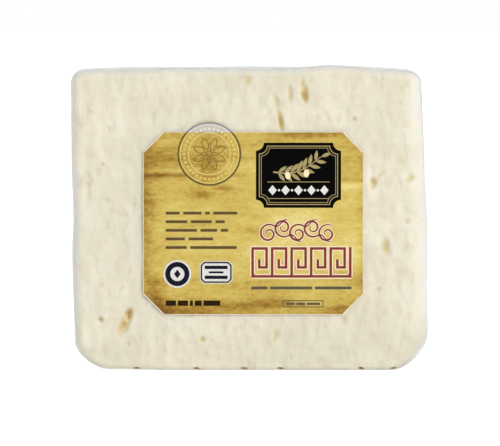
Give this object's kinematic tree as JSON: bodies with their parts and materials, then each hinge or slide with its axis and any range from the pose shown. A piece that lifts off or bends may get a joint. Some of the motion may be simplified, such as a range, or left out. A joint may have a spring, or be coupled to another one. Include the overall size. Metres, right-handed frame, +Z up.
{
  "type": "feta block",
  "caption": "Rectangular block of feta cheese with worn corners and small curd holes, vacuum packed in tight clear film, with a clip-cornered label on its front, standing on a long narrow side.",
  "frame": {"origin": "bottom centre of the bounding box, on the surface that the block stands on", "axes": "+Z up along the block's height, +X along its width and to the right seen from the front, -Y out of the labelled front"},
  "size_m": [0.108, 0.0242, 0.0918],
  "materials": {
    "cheese": "moist fresh cheese, cream white",
    "film": "clear glossy vacuum film",
    "label": "coated label paper, aged gold",
    "ink": "printing ink"
  },
  "bodies": {
    "root": {"feta_block": "cheese", "label": "label"}
  },
  "joints": []
}
